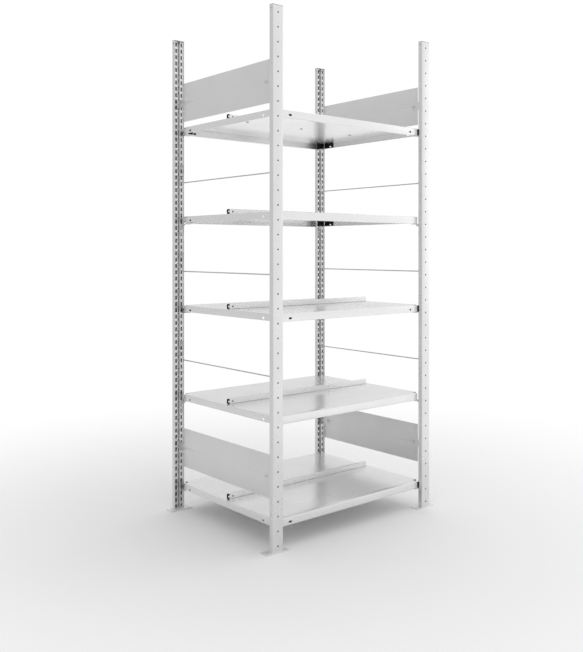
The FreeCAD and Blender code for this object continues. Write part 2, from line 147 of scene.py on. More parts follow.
def bend(corners, steps=4):
    """Points of an open line through (x, y, radius) corners. A corner with a radius becomes an arc, which
    starts radius / tan(half the angle) before it: centre + start cos(turn) - back radius sin(turn)."""
    points = [[corners[0][:2]]]
    for before, (x, y, radius), after in zip(corners, corners[1:], corners[2:]):
        here = np.array([x, y])
        if radius == 0:
            points.append([here])
            continue
        back = (before[:2] - here) / np.linalg.norm(before[:2] - here)
        ahead = (after[:2] - here) / np.linalg.norm(after[:2] - here)
        half = math.acos(np.clip(back @ ahead, -1, 1)) / 2
        centre = here + (back + ahead) / np.linalg.norm(back + ahead) * radius / math.sin(half)
        start = here + back * radius / math.tan(half) - centre
        turns = np.linspace(0, math.pi - 2 * half, steps + 1)[:, None]
        points.append(centre + start * np.cos(turns) - back * radius * np.sin(turns))
    points.append([corners[-1][:2]])
    return np.concatenate(points)


def rounded_rect(half_w, half_h, radius, steps=4):
    """Outline of a rectangle with round corners, anticlockwise from the middle of its lower side. Each
    corner is its arc's centre plus radius (cos, sin) over a quarter turn."""
    turns = np.radians(np.arange(-90, 270, 90)[:, None] + np.linspace(0, 90, steps + 1))
    x = np.array([1, 1, -1, -1])[:, None] * (half_w - radius) + radius * np.cos(turns)
    y = np.array([-1, 1, 1, -1])[:, None] * (half_h - radius) + radius * np.sin(turns)
    right, left = np.stack([x, y], -1).reshape(2, -1, 2)
    return np.concatenate([[(0.0, -half_h)], right, [(0.0, half_h)], left])


def oval(half_w, half_h):
    """Outline of a slot with round ends: the corners' radius is all but half of the smaller width."""
    return rounded_rect(half_w, half_h, min(half_w, half_h) - WELD_REACH, 6)


def circle(radius, count=20):
    """Outline of a circle, anticlockwise from its lowest point: radius (cos, sin)."""
    turns = np.arange(count) * 2 * math.pi / count - math.pi / 2
    return radius * np.column_stack([np.cos(turns), np.sin(turns)])


print("a hole's outline has", len(circle(HOLE_R)), "points, a slot's",
      len(rounded_rect(SLOT_HALF_W[1], SLOT_HALF_H, SLOT_CORNER)))

# %% sheets and lofts


def bent_sheet(path, stations, holes=(), cut=(), kept=None):
    """A line of points (p, q) carried along s: vertex (i, j) is (path i, station j). A hole is (i, middle,
    outline, first, last): its outline (t, s) lies round path point i at height middle, t along the line,
    between two stations. In the cut columns of cells only the sheet between kept points is left. Faces
    look to the right of the line."""
    stations = np.unique(np.round(stations, 7))
    rows, columns = len(path), len(stations)
    number = np.arange(rows * columns).reshape(columns, rows)
    verts = [np.column_stack([np.tile(path, (columns, 1)), np.repeat(stations, rows)])]
    total = rows * columns
    solid = np.ones((columns - 1, rows - 1), bool)
    for column in cut:
        solid[column] = kept[:-1] & kept[1:]
    faces = []
    for i, middle, outline, first, last in holes:
        j0, j1 = np.searchsorted(stations, (first - STATION_SLACK, last - STATION_SLACK))
        along = (path[i + 1] - path[i]) / np.linalg.norm(path[i + 1] - path[i])
        verts.append(np.column_stack([path[i] + outline[:, :1] * along, middle + outline[:, 1]]))
        ring = total + np.arange(len(outline))
        total += len(outline)
        top = len(outline) // 2
        left, right = number[j0:j1 + 1, i - 1], number[j0:j1 + 1, i + 1]
        low, high = number[j0, i], number[j1, i]
        faces.append([left[0], low, ring[0], *ring[:top - 1:-1], high, *left[:0:-1]])
        faces.append([low, *right, high, *ring[top::-1]])
        solid[j0:j1, i - 1:i + 1] = False
    corner = number[:-1, :-1][solid]
    faces += np.column_stack([corner, corner + 1, corner + rows + 1, corner + rows]).tolist()
    return np.concatenate(verts), faces


def loft(rings):
    """Rings of equal count joined into a skin: the quad (i, j) runs to (i + 1, j + 1). The rings turn
    anticlockwise, seen from the side that the last one lies on. Both ends get a face."""
    rings = np.asarray(rings)
    levels, count = rings.shape[:2]
    number = np.arange(levels * count).reshape(levels, count)
    following = np.roll(number, -1, axis=1)
    quads = np.stack([number[:-1], following[:-1], following[1:], number[1:]], -1)
    faces = quads.reshape(-1, 4).tolist()
    faces += [number[0, ::-1].tolist(), number[-1].tolist()]
    return rings.reshape(-1, 3), faces


def stack(levels):
    """Outlines (p, q) at heights s, given as (outline, s), joined into a skin."""
    return loft([np.column_stack([ring, np.full(len(ring), s)]) for ring, s in levels])


def inset(outline, distance):
    """An anticlockwise outline drawn in: each point moves along the mean of its two sides' inward normals."""
    sides = np.roll(outline, -1, 0) - outline
    normals = np.column_stack([-sides[:, 1], sides[:, 0]]) / np.linalg.norm(sides, axis=1)[:, None]
    both = normals + np.roll(normals, 1, 0)
    return outline + distance * both / np.maximum((both ** 2).sum(1) / 2, SHARPEST)[:, None]


def slab(outline, low, high, edge=0.4 * MM):
    """An outline (p, q) as a plate from low to high: four rings, the first and last drawn in by the edge."""
    small = inset(outline, edge)
    return stack([(small, low), (outline, low + edge), (outline, high - edge), (small, high)])


print("a plate's skin has", len(slab(circle(HOLE_R), 0, FOOT_T)[1]), "faces for a round outline of 20 points")

# %% [markdown]
# ### Placing and adding
#
# A part is drawn flat, where its formula is short, and then turned to its place. Most pieces come in twos or
# fours, so they are made once at +x +y and mirrored in their vertices. An object with a negative scale looks
# the same, but its faces point inward once the scale is applied.

# %% placing and adding


def join(parts):
    """Several parts as one: vertices in a row, and each face's numbers raised by those before."""
    firsts = np.cumsum([0] + [len(verts) for verts, faces in parts])
    raised = [[i + first for i in face] for first, (verts, faces) in zip(firsts, parts) for face in faces]
    return np.concatenate([verts for verts, faces in parts]), raised


def place(part, axes, origin=(0, 0, 0)):
    """Turns (p, q, s) into the frame's x, y, z. axes names the directions of p, q and s: "x z -y"."""
    units = dict(zip("xyz", np.eye(3)))
    matrix = np.array([units[axis[-1]] * (-1 if axis[0] == "-" else 1) for axis in axes.split()])
    verts, faces = part
    if np.linalg.det(matrix) < 0:
        faces = [face[::-1] for face in faces]
    return verts @ matrix + np.array(origin), faces


def mirror(part, side_x=1, side_y=1):
    """A part made at +x +y, mirrored to the side with these signs. One mirror turns the faces round."""
    verts, faces = part
    if side_x * side_y < 0:
        faces = [face[::-1] for face in faces]
    return verts * np.array([side_x, side_y, 1]), faces


def apply_modifiers(obj):
    """Turns what the modifiers make into the object's own mesh."""
    drawn = obj.data
    obj.data = bpy.data.meshes.new_from_object(obj.evaluated_get(bpy.context.evaluated_depsgraph_get()))
    obj.modifiers.clear()
    bpy.data.meshes.remove(drawn)


def add_piece(name, part, material, nodes, thickness=0, weld=False, bevel=0):
    """Makes the object and ties it to the frame. thickness goes inward from the visible face."""
    verts, faces = part
    mesh = bpy.data.meshes.new(name)
    mesh.from_pydata(verts, [], faces)
    obj = bpy.data.objects.new(name, mesh)
    bpy.context.scene.collection.objects.link(obj)
    mesh.materials.append(material)
    if weld:
        obj.modifiers.new("weld", "WELD").merge_threshold = WELD_REACH
    if thickness:
        sheet = obj.modifiers.new("sheet", "SOLIDIFY")
        sheet.thickness = thickness
        sheet.offset = -1
        sheet.use_even_offset = True
    if bevel:
        soft = obj.modifiers.new("soft edges", "BEVEL")
        soft.width = bevel
        soft.segments = 2
        soft.angle_limit = BEVEL_FROM
    apply_modifiers(obj)
    obj.data.shade_smooth()
    obj.data.set_sharp_from_angle(angle=SHARP_FROM)
    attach(obj, BODY_OF[nodes[0]])
    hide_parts(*nodes)
    return obj


def tell(title, objects):
    """Prints how many pieces and faces a cell made."""
    print(title, len(objects), "pieces,", sum(len(o.data.polygons) for o in objects), "faces")


# %% [markdown]
# ## Materials
#
# The steel is pale coated sheet with a clear satin skin: half mirror, half diffuse. Two noises do the work.
# A large soft one shifts the tone and the roughness a little, as rolled sheet does. A fine one, stretched
# along the rolling direction, is the bump that blurs reflections more one way than the other. The plastic
# is moulded: a fine even grain and a soft sheen.
#
# *Why so?* Painted images would need every piece unwrapped. Object coordinates are in metres and don't
# depend on the camera, so a pattern has the same size on every piece and a zone can be named in millimetres.

# %% node tools


def new_material(name):
    """A material with its node tree and its Principled node."""
    material = bpy.data.materials.new(name)
    material.use_nodes = True
    tree = material.node_tree
    return material, tree, tree.nodes["Principled BSDF"]


def feed(tree, node, inputs):
    """Sets a node's inputs: each is a constant, or another node's output, which is linked."""
    for socket, value in inputs.items():
        if isinstance(value, bpy.types.NodeSocket):
            tree.links.new(value, node.inputs[socket])
        else:
            node.inputs[socket].default_value = value


def chain(tree, kind, inputs, output=0, **settings):
    """Adds a node with its settings and inputs, and gives its output, ready for the next one."""
    node = tree.nodes.new("ShaderNode" + kind)
    for name, value in settings.items():
        setattr(node, name, value)
    feed(tree, node, inputs)
    return node.outputs[output]


def maths(tree, operation, *values):
    """One sum with numbers or outputs, such as MULTIPLY or ABSOLUTE."""
    return chain(tree, "Math", dict(enumerate(values)), operation=operation)


def spread(tree, value, low, high, first=0.3, last=0.7):
    """Maps a value's range to another. A noise lies mostly between 0.3 and 0.7."""
    return chain(tree, "MapRange", {"Value": value, "From Min": first, "From Max": last,
                                    "To Min": low, "To Max": high})


def grey(level):
    """A grey as a colour socket takes it."""
    return (level, level, level, 1)


def tint(tree, factor, dark, light, **settings):
    """A mix of two greys, or of a colour and a grey, by a factor."""
    greys = [grey(tone) if isinstance(tone, float) else tone for tone in (dark, light)]
    return chain(tree, "Mix", {"Factor": factor, "A": greys[0], "B": greys[1]}, "Result", data_type="RGBA",
                 **settings)


def noise(tree, scale, stretch=(1, 1, 1), detail=3.0):
    """A noise in Object coordinates. A stretch below 1 draws the pattern out along that axis."""
    where = chain(tree, "Mapping", {"Vector": chain(tree, "TexCoord", {}, "Object"), "Scale": stretch})
    return chain(tree, "TexNoise", {"Vector": where, "Scale": scale, "Detail": detail}, "Fac")


def bump(tree, height, strength):
    """A normal that follows a height."""
    return chain(tree, "Bump", {"Height": height, "Distance": GRAIN_H, "Strength": strength})


GRAIN_H = 0.02 * MM
print("grain height", GRAIN_H)

# %% steel and plastic
CLOUD_SCALE, CLOUD_DARK, CLOUD_ROUGH = 9.0, 0.965, (1.15, 0.88)
BLOOM_SCALE, BLOOM_LIGHT, BLOOM_ROUGH = 60.0, (1.6, 0.004), (0.85, 1.2)
STEEL_GRAIN, PLASTIC_GRAIN, GRAIN_DETAIL, PLASTIC_BUMP = 900.0, 2400.0, 2.0, 0.35


def steel(name, tone, metallic, rough, stretch, grain=0.12):
    """Coated sheet: tone and roughness wander over centimetres, a fine grain runs along the sheet."""
    material, tree, shader = new_material(name)
    cloud = noise(tree, CLOUD_SCALE)
    feed(tree, shader, {
        "Metallic": metallic,
        "Base Color": tint(tree, spread(tree, cloud, 0, 1), tone * CLOUD_DARK, tone),
        "Roughness": spread(tree, cloud, rough * CLOUD_ROUGH[0], rough * CLOUD_ROUGH[1]),
        "Normal": bump(tree, noise(tree, STEEL_GRAIN, stretch, GRAIN_DETAIL), grain)})
    return material


def plastic(name, tone, rough, specular):
    """Moulded plastic: a fine grain and a slightly lighter, duller bloom."""
    material, tree, shader = new_material(name)
    bloom = noise(tree, BLOOM_SCALE)
    light = tone * BLOOM_LIGHT[0] + BLOOM_LIGHT[1]
    feed(tree, shader, {
        "Specular IOR Level": specular,
        "Base Color": tint(tree, spread(tree, bloom, 0, 1), tone, light),
        "Roughness": spread(tree, bloom, rough * BLOOM_ROUGH[0], rough * BLOOM_ROUGH[1]),
        "Normal": bump(tree, noise(tree, PLASTIC_GRAIN, detail=GRAIN_DETAIL), PLASTIC_BUMP)})
    return material


print("a steel and a plastic are ready to be mixed")

# %% [markdown]
# ### Painted shade in the hollows
#
# An upright is a deep, narrow hollow, and shade gathers in it. This shade is painted into the colour: the
# chambers behind the slots are painted nearly black, and so is the open groove of the two front uprights,
# whose copy of the steel is painted darker there than that of the rear ones. Black inner faces would need
# their own material slots. Here two comparisons mark such a zone by its distance from the upright's centre
# line and face, so it follows the uprights if they move, and no face has to be picked.

# %% painted shade in the hollows


def between(tree, value, low, high):
    """One where a value lies between two limits, else zero: the product of two comparisons."""
    above = maths(tree, "GREATER_THAN", value, low)
    return maths(tree, "MULTIPLY", above, maths(tree, "LESS_THAN", value, high))


def from_planes(tree, where, axis, plane):
    """Distance from the planes at +plane and -plane: how far the coordinate's size is from it."""
    size = maths(tree, "ABSOLUTE", chain(tree, "SeparateXYZ", {"Vector": where}, axis))
    return maths(tree, "ABSOLUTE", maths(tree, "SUBTRACT", size, plane))


def paint_hollow_shade(material, areas):
    """Painted shade inside the uprights. across is the distance from an upright's centre line and deep
    that from its outer face. Each area (across limits, deep limits, tone) multiplies the colour by a tone of
    painted shade."""
    tree = material.node_tree
    base = tree.nodes["Principled BSDF"].inputs["Base Color"]
    where = chain(tree, "TexCoord", {}, "Object")
    across, deep = from_planes(tree, where, "X", POST_X), from_planes(tree, where, "Y", FACE_Y)
    colour = base.links[0].from_socket
    for across_limits, deep_limits, tone in areas:
        inside = maths(tree, "MULTIPLY", between(tree, across, *across_limits),
                       between(tree, deep, *deep_limits))
        colour = tint(tree, inside, colour, tone, blend_type="MULTIPLY")
    tree.links.new(colour, base)


EVEN, ALONG_X, ALONG_Y, ALONG_Z = (1, 1, 1), (0.06, 1, 1), (1, 0.06, 1), (1, 1, 0.06)
RETURN_WALL = 6.6 * MM          # the middle of the groove's wall, from the upright's centre line
# painted shade: the chambers behind the slots are painted nearly black (tone 0.01)
CHAMBER_SHADE = ((RETURN_WALL, POST_HALF - STRIP / 2), (1.4 * MM, 11.3 * MM), 0.01)
THROAT_SHADE = ((0, RETURN_WALL), (1.6 * MM, 12 * MM))
UPRIGHT_STEEL = {}
# painted shade: the front uprights' copy is painted dark in its groove (0.07), the back uprights' copy is left
# plain there (1.0)
for side, name, tone in ((-1, "front", 0.07), (1, "back", 1.0)):
    UPRIGHT_STEEL[side] = steel(f"upright_steel_{name}", 0.84, 0.68, 0.28, ALONG_Z, 0.03)
    paint_hollow_shade(UPRIGHT_STEEL[side], [CHAMBER_SHADE, (*THROAT_SHADE, tone)])
FOOT_STEEL = steel("foot_steel", 0.88, 0.30, 0.35, EVEN)
SHELF_STEEL = steel("shelf_steel", 0.90, 0.68, 0.22, ALONG_X, 0.02)
RAIL_STEEL = steel("rail_steel", 0.93, 0.5, 0.28, ALONG_X, 0.02)
PLATE_STEEL = steel("plate_steel", 0.83, 0.55, 0.36, ALONG_Y, 0.04)
LID_GREY = plastic("lid_grey", 0.28, 0.45, 0.4)
WIRE_STEEL = steel("wire_steel", 0.62, 0.75, 0.28, ALONG_Y)
ZINC = steel("zinc_fastener", 0.80, 0.60, 0.34, EVEN, 0.1)
SCREW_ZINC = steel("screw_zinc", 0.45, 0.75, 0.34, EVEN, 0.1)
BLACK = plastic("black_plastic", 0.006, 0.5, 0.15)
print("materials", [m.name for m in bpy.data.materials])

# %% [markdown]
# ## Uprights
#
# Each upright is one strip of steel, bent ten times. The line below follows its visible side: up the
# groove's wall, over the slotted shoulder, round the hem, down the side, across the face with its round
# holes, and back the same way. One column of slots is wider than the other, for the clips of its own side,
# and the front uprights are the rear ones turned half round.
#
# *How else?* A block could be hollowed out and cut. Carrying a line upward and then giving it thickness on
# its hidden side keeps the sheet equally thick everywhere, as the real bends do.

# %% uprights


def upright_line():
    """The visible side of the strip, across the upright and inward from its face, with a straight-through
    point in the middle of each column of holes."""
    half, hem, depth = POST_HALF, POST_HALF - 2 * STRIP, POST_DEEP
    left = [(-GROOVE, RETURN_END, 0), (-GROOVE, SHOULDER, GROOVE_R), (-SLOT_X, SHOULDER, 0),
            (-hem, SHOULDER, HEM_IN_R), (-hem, depth, HEM_R), (-half, depth, HEM_R),
            (-half, depth / 2, 0), (-half, 0, EDGE_R)]
    return bend(left + [(0, 0, 0)] + [(-x, y, r) for x, y, r in reversed(left)])


def line_point(path, x, y):
    """The number of the path's point at (x, y)."""
    gaps = np.linalg.norm(path - (x, y), axis=1)
    assert gaps.min() < WELD_REACH
    return int(gaps.argmin())


def make_upright():
    """The perforated strip: slots at FIRST_SLOT + k SLOT_PITCH, round holes at (k + 1/2) HOLE_PITCH."""
    path = upright_line()
    slot_count = int((POST_Z1 - FIRST_SLOT) // SLOT_PITCH) + 1
    slot_edges = np.clip(FIRST_SLOT + SLOT_PITCH * (np.arange(slot_count + 1) - 0.5), POST_Z0, POST_Z1)
    hole_edges = np.append(np.arange(POST_Z0, POST_Z1 - HOLE_PITCH / 2, HOLE_PITCH), POST_Z1)
    ear_edges = EAR_HOLE_Z + np.array([-2, 2]) * EAR_HOLE_R
    holes = []
    for side in (-1, 1):
        column = line_point(path, side * SLOT_X, SHOULDER)
        for low_edge, high_edge, k in zip(slot_edges, slot_edges[1:], range(slot_count)):
            top = FIRST_SLOT + SLOT_PITCH * k + SLOT_HALF_H
            bottom = max(top - 2 * SLOT_HALF_H, POST_Z0 + SLOT_CORNER)
            outline = rounded_rect(SLOT_HALF_W[side], (top - bottom) / 2, SLOT_CORNER)
            holes.append((column, (top + bottom) / 2, outline, low_edge, high_edge))
        wall = line_point(path, side * POST_HALF, POST_DEEP / 2)
        holes.append((wall, EAR_HOLE_Z, circle(EAR_HOLE_R, 16), *ear_edges))
    web = line_point(path, 0, 0)
    for k in range(len(hole_edges) - 1):
        holes.append((web, HOLE_PITCH * (k + 0.5), circle(HOLE_R), hole_edges[k], hole_edges[k + 1]))
    return bent_sheet(path, np.concatenate([slot_edges, hole_edges, ear_edges]), holes)


strip = make_upright()
made = []
for corner, (side_x, side_y) in CORNERS.items():
    turned = "x -y z" if side_y > 0 else "-x y z"
    upright = place(strip, turned, (side_x * POST_X, side_y * FACE_Y, 0))
    made.append(add_piece("steel_upright_" + corner, upright, UPRIGHT_STEEL[side_y],
                          ["upright_" + corner], thickness=STRIP))
tell("uprights", made)

# %% [markdown]
# ## Lids and floor plates
#
# A thin lid closes each upright. It stands over the section by about half a millimetre, which shows as a
# fine line round the top. The floor plate is a flat plate with two anchor holes.
#
# Both are outlines carried through a thickness. A cube would do for their size, but its sharp edges catch no
# light: the lid's skin is drawn in at its edges, and a Bevel softens those of the plates.

# %% lids and floor plates


def lid(corner):
    """A rounded rectangle with a soft edge, as large as the CAD lid."""
    low, high = span("upright_cap_" + corner)
    middle, half = (low + high) / 2, (high - low) / 2
    plate = slab(rounded_rect(half[0], half[1], LID_CORNER), POST_Z1, high[2])
    return place(plate, "x y z", (middle[0], middle[1], 0))


def foot_plate():
    """A flat plate: a straight line with a point in the middle of each anchor hole, carried along y."""
    path = np.array([(x, 0.0) for x in (-FOOT_HALF_X, -ANCHOR_X, 0, ANCHOR_X, FOOT_HALF_X)])
    holes = [(i, ANCHOR_Y, circle(ANCHOR_R, 28), FOOT_Y0, FACE_Y + FOOT_PROUD) for i in (1, 3)]
    plate = bent_sheet(path, [FOOT_Y0, FACE_Y + FOOT_PROUD], holes)
    return place(plate, "x -z y", (POST_X, 0, FOOT_T))


made = [add_piece("lid_" + corner, lid(corner), LID_GREY, ["upright_cap_" + corner])
        for corner in CORNERS]
plates = join([mirror(foot_plate(), *signs) for signs in CORNERS.values()])
made.append(add_piece("floor_plates", plates, FOOT_STEEL, ["foot_plates"],
                      thickness=FOOT_T, bevel=FOOT_EDGE))
tell("lids and floor plates", made)

# %% [markdown]
# ## Shelves
#
# A shelf is one sheet folded down on all four sides. Front and rear folds turn in to a lip. The corners
# are cut out, full height, where the uprights stand.
#
# The main sheet is a bent line across the depth, carried along the length. Each end fold is a second bent
# line, carried along the depth. Both have vertices at the same places along their common edge, so a weld
# makes one skin of them before it gets its thickness.
#
# *How else?* A plate with its rim extruded down gives sharp corners. With the arc in the line, every fold
# has the soft highlight that tells the eye that the sheet was bent and not glued.

# %% shelves


def main_sheet(number, breaks):
    """The line lip - fold - top - fold - lip, carried along x. Beyond FOLD_X only the top between the end
    folds is left."""
    low, high = SHELF_BOX[number]
    half_x, half_y, top = high
    side = [(half_y - LIP, low[2], 0), (half_y, low[2], LIP_R), (half_y, top - OVAL_DROP, 0),
            (half_y, top, FOLD_R)]
    path = bend(side + [(y, top, 0) for y in breaks] + [(-y, z, r) for y, z, r in reversed(side)])
    oval_edges = [side_x * (OVAL_X + reach) for side_x in (-1, 1) for reach in (-OVAL_CELL, OVAL_CELL)]
    stations = np.array([FOLD_R - half_x, -FOLD_X, *oval_edges, FOLD_X, half_x - FOLD_R])
    stations = np.sort(np.append(stations, np.linspace(-EVEN_X, EVEN_X, EVEN_COUNT)))
    holes = []
    if number in FIXED_SHELVES:
        outline = oval(OVAL_HALF_H, OVAL_HALF_W)
        for y, x in ((-half_y, -OVAL_X), (-half_y, OVAL_X), (half_y, -OVAL_X)):
            i = line_point(path, y, top - OVAL_DROP)
            holes.append((i, x, outline, x - OVAL_CELL, x + OVAL_CELL))
    on_top = np.abs(path[:, 0]) < END_Y + WELD_REACH
    return place(bent_sheet(path, stations, holes, (0, -1), on_top), "y z x")


def end_fold(number, breaks):
    """The line from the end fold's lower edge up and round to the top, carried along -y."""
    half_x, half_y, top = SHELF_BOX[number][1]
    path = bend([(half_x, top - END_FOLD, 0), (half_x, top - END_HOLE_DROP, 0), (half_x, top, FOLD_R),
                 (half_x - FOLD_R, top, 0)])[:-1]
    i = line_point(path, half_x, top - END_HOLE_DROP)
    outline = oval(END_HOLE_HALF_H, END_HOLE_HALF_W)
    holes = [(i, y, outline, y - END_HOLE_CELL, y + END_HOLE_CELL) for y in (-END_HOLE_Y, END_HOLE_Y)]
    return place(bent_sheet(path, breaks, holes), "x z -y")


def shelf(number):
    """One folded shelf."""
    near, far = END_HOLE_Y - END_HOLE_CELL, END_HOLE_Y + END_HOLE_CELL
    breaks = [END_Y, far, near, 0, -near, -far, -END_Y]
    end = end_fold(number, breaks)
    return join([main_sheet(number, breaks), end, mirror(end, -1)])


made = [add_piece(f"steel_shelf_{n}", shelf(n), SHELF_STEEL, [f"shelf_{n}"],
                  thickness=SHEET, weld=True) for n in SHELVES]
tell("shelves", made)

# %% [markdown]
# ## Stop rails
#
# A square steel tube stands along the middle of each shelf and stops the books of the two faces from
# pushing each other off. It is a closed line, carried along the length, with one hole drilled through near
# its left end. There only a tongue of each side is left, so that the plug shows above and below it.
#
# *How else?* A tube could be a stretched cube with its ends removed. The closed line gives it round edges and
# lets the hole and the tongue be left out of the same grid.

# %% stop rails
RAIL_R = 2.2 * MM
RAIL_HOLE_X, RAIL_HOLE_R, RAIL_HOLE_CELL = mm(20.5, 3.2, 6)
RAIL_CUT, RAIL_TONGUE = mm(6, 2.8)
RAIL_BOX = {n: span(f"stop_rail_{n}") for n in SHELVES}


def stop_rail(number):
    """The tube's closed line across its section, carried along x and drilled through both sides. At its
    left end only a tongue of each side is left, so that the plug shows above and below it."""
    low, high = RAIL_BOX[number]
    half_w, half_h = high[1], (high[2] - low[2]) / 2
    right = [(half_w, -half_h, RAIL_R), (half_w, -RAIL_TONGUE, 0), (half_w, 0, 0), (half_w, RAIL_TONGUE, 0),
             (half_w, half_h, RAIL_R)]
    left = [(-y, z, r) for y, z, r in reversed(right)]
    path = bend([(0, -half_h, 0)] + right + left + [(0, -half_h, 0)])
    drilled = low[0] + RAIL_HOLE_X
    holes = [(line_point(path, side * half_w, 0), drilled, circle(RAIL_HOLE_R, 16),
              drilled - RAIL_HOLE_CELL, drilled + RAIL_HOLE_CELL) for side in (-1, 1)]
    stations = [low[0], low[0] + RAIL_CUT, drilled - RAIL_HOLE_CELL, drilled + RAIL_HOLE_CELL, 0, high[0]]
    in_tongue = np.abs(path[:, 1]) < RAIL_TONGUE + WELD_REACH
    sheet = bent_sheet(path, stations, holes, [0], in_tongue)
    return place(sheet, "y z x", (0, 0, (low[2] + high[2]) / 2))


made = [add_piece(f"rail_{n}", stop_rail(n), RAIL_STEEL, [f"stop_rail_{n}"],
                  thickness=SHEET, weld=True) for n in SHELVES]
tell("stop rails", made)

# %% [markdown]
# ### Rail plugs
#
# A hollow plug of black plastic closes each end of a rail. It is one skin that runs up the outside, over the
# rim and down into the pocket, as rings of equal count. Cutting a pocket from a block would leave its rim
# sharp.

# %% rail plugs
PLUG_L, PLUG_CORNER, PLUG_WALL, PLUG_EDGE, PLUG_POCKET = mm(10, 1.3, 1.8, 0.3, 7)


def rail_plug(number):
    """Two hollow plugs: the skin runs up the outside, over the rim and down into the pocket."""
    low, high = span(f"rail_caps_{number}")
    half_w, half_h = high[1], (high[2] - low[2]) / 2
    depth = high[0] - (RAIL_BOX[number][1][0] - PLUG_L)
    outer = rounded_rect(half_w, half_h, PLUG_CORNER)
    inner = rounded_rect(half_w - PLUG_WALL, half_h - PLUG_WALL, PLUG_CORNER / 2)
    levels = [(inset(outer, PLUG_EDGE), -depth), (outer, PLUG_EDGE - depth), (outer, -PLUG_EDGE),
              (inset(outer, PLUG_EDGE), 0), (inset(inner, -PLUG_EDGE), 0), (inner, -PLUG_EDGE),
              (inner, -PLUG_POCKET)]
    plug = place(stack(levels), "y z x", (high[0], 0, (low[2] + high[2]) / 2))
    return join([plug, mirror(plug, -1)])


made = [add_piece(f"rail_plugs_{n}", rail_plug(n), BLACK, [f"rail_caps_{n}"])
        for n in SHELVES]
tell("rail plugs", made)

# %% [markdown]
# ### Screws
#
# Three pan head screws, driven up from below, hold each rail. They are spun: a profile of radius and height
# is turned round an axis. Where the radius also depends on the turn, the same loft makes a cross recess, a
# hexagon socket or a nut. A cylinder with a cut slot would need a boolean for each of them.

# %% spun shapes
TURNS = np.arange(36) * math.radians(10)
NEAR_ZERO = 1e-9                # keeps a cosine or sine of nought from being divided by


def spun(levels):
    """A skin round the s axis. Each level is (radius, s), and a radius may differ from turn to turn."""
    unit = np.array([np.cos(TURNS), np.sin(TURNS)])
    return stack([((radius * unit).T, s) for radius, s in levels])


def many_sided(flat, sides=6):
    """A regular polygon's radius at each turn: half its width over the cosine of the turn from the middle
    of the nearest side."""
    step = 2 * math.pi / sides
    return flat / np.cos((TURNS + step / 2) % step - step / 2)


def cross(arm, reach):
    """A cross's radius at each turn: the larger of its two bars, each ended by its own side or tip."""
    c, s = np.abs(np.cos(TURNS)) + NEAR_ZERO, np.abs(np.sin(TURNS)) + NEAR_ZERO
    return np.maximum(np.minimum(arm / s, reach / c), np.minimum(arm / c, reach / s))


print("spun shapes have", len(TURNS), "points a ring")

# %% rail screws
SCREW_XS = (-267 * MM, 0.0, 267 * MM)
SCREW_HEAD_R, SCREW_HEAD_H, SCREW_R, SCREW_L = mm(5.5, 2.2, 2.0, 9)
SCREW_POINT, SCREW_TIP_R, CROSS_ARM, CROSS_REACH = mm(2, 0.4, 0.5, 1.9)


def screws(tops):
    """Pan head screws that point up: cross recess, domed head, flat underside, shank."""
    recess = cross(CROSS_ARM, CROSS_REACH)
    h, end = SCREW_HEAD_H, SCREW_HEAD_H + SCREW_L
    levels = [(recess * 0.5, 0.65 * h), (recess, 0), (SCREW_HEAD_R * 0.7, 0), (SCREW_HEAD_R * 0.9, 0.18 * h),
              (SCREW_HEAD_R, 0.55 * h), (SCREW_HEAD_R, h), (SCREW_R, h), (SCREW_R, end - SCREW_POINT),
              (SCREW_TIP_R, end)]
    screw = spun(levels)
    spots = [(x, 0, top - SHEET - h) for top in tops for x in SCREW_XS]
    return join([place(screw, "x y z", spot) for spot in spots])


def shelf_top(number):
    """Height of a shelf's upper face."""
    return SHELF_BOX[number][1][2]


made = [add_piece(f"screws_{n}", screws([shelf_top(n)]), SCREW_ZINC, [f"rail_screws_{n}"])
        for n in SHELVES if n not in FIXED_SHELVES]
made.append(add_piece("screws_fixed", screws([shelf_top(n) for n in FIXED_SHELVES]), SCREW_ZINC,
                      ["rail_screws_fixed"]))
tell("screws", made)

# %% [markdown]
# ## Corner pieces
#
# Moulded black pieces sit in the corners of each tray: an arm along the end fold, long and partly notched
# round the fold's hole at the rear and short at the front, and a leg along the cut out corner, with a toe at
# the left. A fixed shelf also has a rib in the gap beside its right hand uprights.
#
# Each is an outline carried through a thickness, because a moulding has even walls. The outlines turn
# anticlockwise, so that `inset` can draw them in for the soft edges.

# %% corner pieces
PLAY = 0.3 * MM
ARM_Y0, ARM_Y1, ARM_T, ARM_H, NOTCH_R = mm(213, 264, 3.6, 22, 8.3)
SHORT_ARM_Y0, SHORT_ARM_H = mm(242, 9)
LEG_X0, SHORT_LEG_X0, LEG_X1, LEG_Y = mm(329.5, 339, 368.5, 270)
LEG_H = {-1: 17.5 * MM, 1: 22.8 * MM}
TOE_X, TOE_W, TOE_H = mm(334, 21, 23.1)
RIB_X, RIB_T, RIB_Y0, RIB_Y, RIB_TOP, RIB_H = mm(352.4, 2.0, 262, 302.3, 2, 23)
ARM_EDGE, LEG_R, RIB_R = mm(0.25, 0.7, 0.8)


def closed(corners, radius, steps=3):
    """A closed anticlockwise outline through (x, y) corners, each rounded, from the middle of a side."""
    start = ((corners[0][0] + corners[-1][0]) / 2, (corners[0][1] + corners[-1][1]) / 2, 0)
    return bend([start] + [(x, y, radius) for x, y in corners] + [start], steps)[:-1]


